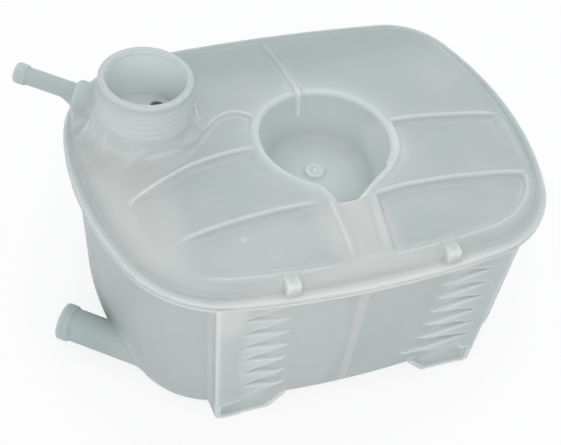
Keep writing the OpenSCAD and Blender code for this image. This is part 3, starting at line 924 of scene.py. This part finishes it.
def mesh_from(name, points, quads):
    """A mesh of quads, from points in millimetres."""
    mesh = bpy.data.meshes.new(name)
    mesh.vertices.add(len(points))
    mesh.vertices.foreach_set("co", (points * MM).astype(np.float32).ravel())
    mesh.loops.add(quads.size)
    mesh.loops.foreach_set("vertex_index", quads.astype(np.int32).ravel())
    mesh.polygons.add(len(quads))
    mesh.polygons.foreach_set("loop_start", np.arange(0, quads.size, 4, dtype=np.int32))
    mesh.update(calc_edges=True)
    mesh.validate()
    return mesh


def places_of(mesh):
    """The mesh's vertices in millimetres."""
    places = np.empty(len(mesh.vertices) * 3, np.float32)
    mesh.vertices.foreach_get("co", places)
    return places.reshape(-1, 3).astype(float) / MM


def refine(mesh, reading):
    """Cut the long edges, and the shorter ones along which the reading changes much, into halves."""
    for _ in range(REFINE_ROUNDS):
        places = places_of(mesh)
        values = reading(places)
        ends = np.empty(len(mesh.edges) * 2, np.int32)
        mesh.edges.foreach_get("vertices", ends)
        a, b = ends.reshape(-1, 2).T
        span = np.linalg.norm(places[a] - places[b], axis=1)
        change = np.where(span > SHORT_EDGE, np.abs(values[a] - values[b]), 0)
        need = np.maximum(span / LONG_EDGE, change / READING_STEP)
        triangles = len(mesh.loops) - 2 * len(mesh.polygons)
        # A cut edge makes two more triangles, and half of what is left is kept for the later rounds
        worst = np.argsort(-need, kind="stable")[:max(MOST_TRIANGLES - triangles, 0) // 4]
        chosen = worst[need[worst] > 1]
        cut = bmesh.new()
        cut.from_mesh(mesh)
        cut.edges.ensure_lookup_table()
        bmesh.ops.subdivide_edges(cut, edges=[cut.edges[i] for i in chosen], cuts=1)
        bmesh.ops.triangulate(cut, faces=[f for f in cut.faces if len(f.verts) > 3])
        cut.to_mesh(mesh)
        cut.free()


def shell_piece(name, field, low, high, step, triangles):
    """One moulded half: the field's surface, thinned to its triangle budget and shaded from the field."""
    origin = np.array(low, float) - MARGIN * step
    axes = [np.arange(o, h + (MARGIN + 0.5) * step, step, dtype=np.float32) for o, h in zip(origin, high)]
    x, y, z = axes[0][:, None, None], axes[1][None, :, None], axes[2][None, None, :]
    f, solid = field(x, y, z)
    points, quads = surface_of(f, origin, step)
    mesh = mesh_from(name, points, quads)
    piece = bpy.data.objects.new(name, mesh)
    bpy.context.scene.collection.objects.link(piece)
    if 2 * len(quads) > triangles:
        thin = piece.modifiers.new("thin", "DECIMATE")
        thin.ratio = triangles / (2 * len(quads))
        seen = piece.evaluated_get(bpy.context.evaluated_depsgraph_get())
        thinned = bpy.data.meshes.new_from_object(seen)
        piece.modifiers.remove(thin)
        piece.data = thinned
        bpy.data.meshes.remove(mesh)
    mesh = piece.data
    level = blurred(solid, round(BEND_SIZE / step))

    def bend_at(spots):
        bend = (value_at(level, origin, step, spots) - value_at(solid, origin, step, spots)) / BEND_FULL
        return np.sign(bend) * smooth(np.abs(bend))

    refine(mesh, bend_at)
    places = places_of(mesh)
    faces = np.empty(len(mesh.vertices) * 3, np.float32)
    mesh.vertices.foreach_get("normal", faces)
    normals = gradient_at(f, origin, step, places) + faces.reshape(-1, 3)
    normals /= np.linalg.norm(normals, axis=1, keepdims=True)
    mesh.polygons.foreach_set("use_smooth", np.ones(len(mesh.polygons), bool))
    mesh.normals_split_custom_set_from_vertices(normals.tolist())
    # Masks for painted light: the painted highlight on ridges, the painted light in creases and the painted
    # light on inner faces
    bend = bend_at(places)
    inside = smooth(-value_at(solid, origin, step, places) - INSIDE_START)
    for label, values in (("ridge", bend), ("crease", -bend), ("inside", inside)):
        layer = mesh.attributes.new(label, "FLOAT", "POINT")
        layer.data.foreach_set("value", np.maximum(values, 0).astype(np.float32))
    return piece


def blended(nodes, links, colour, other, amount, most):
    """A colour turned towards another by an amount of 0 to 1, of which the most is kept."""
    share = nodes.new("ShaderNodeMath")
    share.operation = "MULTIPLY"
    share.inputs[1].default_value = most
    blend = nodes.new("ShaderNodeMix")
    blend.data_type = "RGBA"
    blend.inputs[MIX_SECOND].default_value = other
    links.new(amount, share.inputs[0])
    links.new(share.outputs[0], blend.inputs[MIX_AMOUNT])
    links.new(colour, blend.inputs[MIX_FIRST])
    return blend.outputs[MIX_RESULT]


def patched(nodes, links, colour, place, patch):
    """A colour with a soft patch of another tone on it."""
    middle, size, soft, strength, tone = patch
    around = nodes.new("ShaderNodeMapping")
    around.vector_type = "TEXTURE"
    around.inputs["Location"].default_value = [v * MM for v in middle]
    around.inputs["Scale"].default_value = [v * MM for v in size]
    reach = nodes.new("ShaderNodeVectorMath")
    reach.operation = "LENGTH"
    edge = nodes.new("ShaderNodeMapRange")
    edge.interpolation_type = "SMOOTHSTEP"
    edge.inputs["From Min"].default_value = PATCH_EDGE + soft
    edge.inputs["From Max"].default_value = PATCH_EDGE - soft
    links.new(place, around.inputs["Vector"])
    links.new(around.outputs["Vector"], reach.inputs[0])
    links.new(reach.outputs["Value"], edge.inputs["Value"])
    return blended(nodes, links, colour, tone, edge.outputs["Result"], strength)


def plastic_material(half, patches):
    """Natural polypropylene: cloudy, with a fine grain, painted highlights on ridges, painted light in
    creases, on inner faces and in patches, partly also where it is thick, and painted shade in patches.
    """
    material = bpy.data.materials.new("natural polypropylene, " + half)
    material.use_nodes = True
    nodes, links = material.node_tree.nodes, material.node_tree.links
    shader = nodes["Principled BSDF"]
    place = nodes.new("ShaderNodeTexCoord")
    cloud = nodes.new("ShaderNodeTexNoise")
    cloud.inputs["Scale"].default_value = 22
    cloud.inputs["Detail"].default_value = 3
    tint = nodes.new("ShaderNodeValToRGB")
    tint.color_ramp.elements[0].position = 0.3
    tint.color_ramp.elements[0].color = PLAIN_TONES[0]
    tint.color_ramp.elements[1].position = 0.7
    tint.color_ramp.elements[1].color = PLAIN_TONES[1]
    links.new(place.outputs["Object"], cloud.inputs["Vector"])
    links.new(cloud.outputs["Fac"], tint.inputs["Fac"])
    colour = tint.outputs["Color"]
    ridge, crease, inside = [nodes.new("ShaderNodeAttribute") for _ in range(3)]
    ridge.attribute_name, crease.attribute_name, inside.attribute_name = "ridge", "crease", "inside"
    # Painted highlight on ridges and painted light in creases
    colour = blended(nodes, links, colour, RIDGE_HIGHLIGHT, ridge.outputs["Fac"], RIDGE_SHARE)
    colour = blended(nodes, links, colour, CREASE_LIGHT, crease.outputs["Fac"], CREASE_SHARE)
    # Patches of painted light and painted shade
    for patch in patches:
        colour = patched(nodes, links, colour, place.outputs["Object"], patch)
    # Painted light on inner faces
    colour = blended(nodes, links, colour, INSIDE_LIGHT, inside.outputs["Fac"], INSIDE_SHARE)
    # Painted light on the web in the neck
    colour = patched(nodes, links, colour, place.outputs["Object"], WEB_PATCH)
    through = nodes.new("ShaderNodeMapRange")
    through.inputs["To Min"].default_value = 1.0
    through.inputs["To Max"].default_value = 0.3
    links.new(inside.outputs["Fac"], through.inputs["Value"])
    links.new(through.outputs["Result"], shader.inputs["Subsurface Weight"])
    links.new(colour, shader.inputs["Base Color"])
    grain = nodes.new("ShaderNodeTexNoise")
    grain.inputs["Scale"].default_value = 900
    bump = nodes.new("ShaderNodeBump")
    bump.inputs["Strength"].default_value = 0.06
    bump.inputs["Distance"].default_value = 0.0004
    links.new(place.outputs["Object"], grain.inputs["Vector"])
    links.new(grain.outputs["Fac"], bump.inputs["Height"])
    links.new(bump.outputs["Normal"], shader.inputs["Normal"])
    shader.inputs["Roughness"].default_value = 0.45
    shader.inputs["IOR"].default_value = 1.49
    shader.inputs["Subsurface Radius"].default_value = (1.0, 1.0, 1.0)
    shader.inputs["Subsurface Scale"].default_value = 0.008
    return material


def stage():
    """A pale floor that is nearly white for the camera and keeps the tank's shadow."""
    corners = [(-FLOOR_HALF, -FLOOR_HALF, 0), (FLOOR_HALF, -FLOOR_HALF, 0), (FLOOR_HALF, FLOOR_HALF, 0),
               (-FLOOR_HALF, FLOOR_HALF, 0)]
    mesh = bpy.data.meshes.new("floor")
    mesh.from_pydata(corners, [], [(0, 1, 2, 3)])
    floor = bpy.data.objects.new("floor", mesh)
    bpy.context.scene.collection.objects.link(floor)
    floor.location.z = cad_box[0][2] - FLOOR_GAP
    material = bpy.data.materials.new("pale floor")
    material.use_nodes = True
    nodes, links = material.node_tree.nodes, material.node_tree.links
    shader = nodes["Principled BSDF"]
    shader.inputs["Base Color"].default_value = (0.9, 0.9, 0.9, 1)
    shader.inputs["Roughness"].default_value = 0.9
    glow = nodes.new("ShaderNodeEmission")
    glow.inputs["Color"].default_value = (1, 1, 1, 1)
    glow.inputs["Strength"].default_value = 1.0
    rays = nodes.new("ShaderNodeLightPath")
    blend = nodes.new("ShaderNodeMixShader")
    share = nodes.new("ShaderNodeMath")
    share.operation = "MULTIPLY"
    share.inputs[1].default_value = FLOOR_WHITE_SHARE
    links.new(rays.outputs["Is Camera Ray"], share.inputs[0])
    links.new(share.outputs[0], blend.inputs["Fac"])
    links.new(shader.outputs["BSDF"], blend.inputs[1])
    links.new(glow.outputs["Emission"], blend.inputs[2])
    links.new(blend.outputs["Shader"], nodes["Material Output"].inputs["Surface"])
    mesh.materials.append(material)


def surround():
    """An even pale light from all round, and white where the camera looks past the floor."""
    world = bpy.data.worlds.new("surround")
    bpy.context.scene.world = world
    world.use_nodes = True
    nodes, links = world.node_tree.nodes, world.node_tree.links
    light = nodes["Background"]
    light.inputs["Color"].default_value = (0.9, 0.93, 0.93, 1)
    light.inputs["Strength"].default_value = 0.75
    white = nodes.new("ShaderNodeBackground")
    white.inputs["Color"].default_value = (1, 1, 1, 1)
    rays = nodes.new("ShaderNodeLightPath")
    blend = nodes.new("ShaderNodeMixShader")
    links.new(rays.outputs["Is Camera Ray"], blend.inputs["Fac"])
    links.new(light.outputs["Background"], blend.inputs[1])
    links.new(white.outputs["Background"], blend.inputs[2])
    links.new(blend.outputs["Shader"], nodes["World Output"].inputs["Surface"])


def area_light(name, place, aim, size, power, colour):
    """A square lamp that looks at a point."""
    lamp = bpy.data.lights.new(name, "AREA")
    lamp.energy = power
    lamp.size = size
    lamp.color = colour
    piece = bpy.data.objects.new(name, lamp)
    piece.location = place
    piece.rotation_euler = (Vector(aim) - Vector(place)).to_track_quat("-Z", "Y").to_euler()
    bpy.context.scene.collection.objects.link(piece)


def camera():
    """The photograph's view: its direction, roll, distance and the point at the middle of the picture."""
    azimuth, elevation, roll = math.radians(28.0), math.radians(46.0), math.radians(10.0)
    distance = 0.6476
    aim = Vector((-0.0299, -0.0404, 0.087))
    sight = Vector((math.sin(azimuth) * math.cos(elevation), math.cos(azimuth) * math.cos(elevation),
                    -math.sin(elevation)))
    level = Vector((math.cos(azimuth), -math.sin(azimuth), 0))
    upright = level.cross(sight)
    right = math.cos(roll) * level + math.sin(roll) * upright
    up = -math.sin(roll) * level + math.cos(roll) * upright
    lens = bpy.data.cameras.new("camera")
    lens.sensor_width = 36
    lens.lens = 86.6
    lens.clip_start = 0.01
    piece = bpy.data.objects.new("camera", lens)
    piece.matrix_world = Matrix((right, up, -sight)).transposed().to_4x4()
    piece.location = aim - sight * distance
    bpy.context.scene.collection.objects.link(piece)
    bpy.context.scene.camera = piece


def build():
    """Both halves, each in place of its node."""
    left, right = FIELD_LEFT, HALF_W + FIELD_ROOM
    front, back = -HALF_D - FIELD_ROOM, HALF_D + FIELD_ROOM
    pieces = (
        ("upper_half", "upper_shell", upper_field, (left, front, WELD_Z - WELL_DROP - WALL),
         (right, back, MOUTH_Z), UPPER_STEP, UPPER_TRIANGLES, UPPER_PATCHES),
        ("lower_half", "lower_shell", lower_field, (left, front, 0), (right, back, WELD_Z),
         LOWER_STEP, LOWER_TRIANGLES, LOWER_PATCHES))
    for name, node, field, low, high, step, triangles, patches in pieces:
        piece = shell_piece(name, field, low, high, step, triangles)
        piece.data.materials.clear()
        piece.data.materials.append(plastic_material(name, patches))
        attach(piece, BODY)
        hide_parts(node)


build()
stage()
surround()
for lamp in LAMPS:
    area_light(*lamp)
bpy.context.scene.view_settings.view_transform = "Standard"
camera()
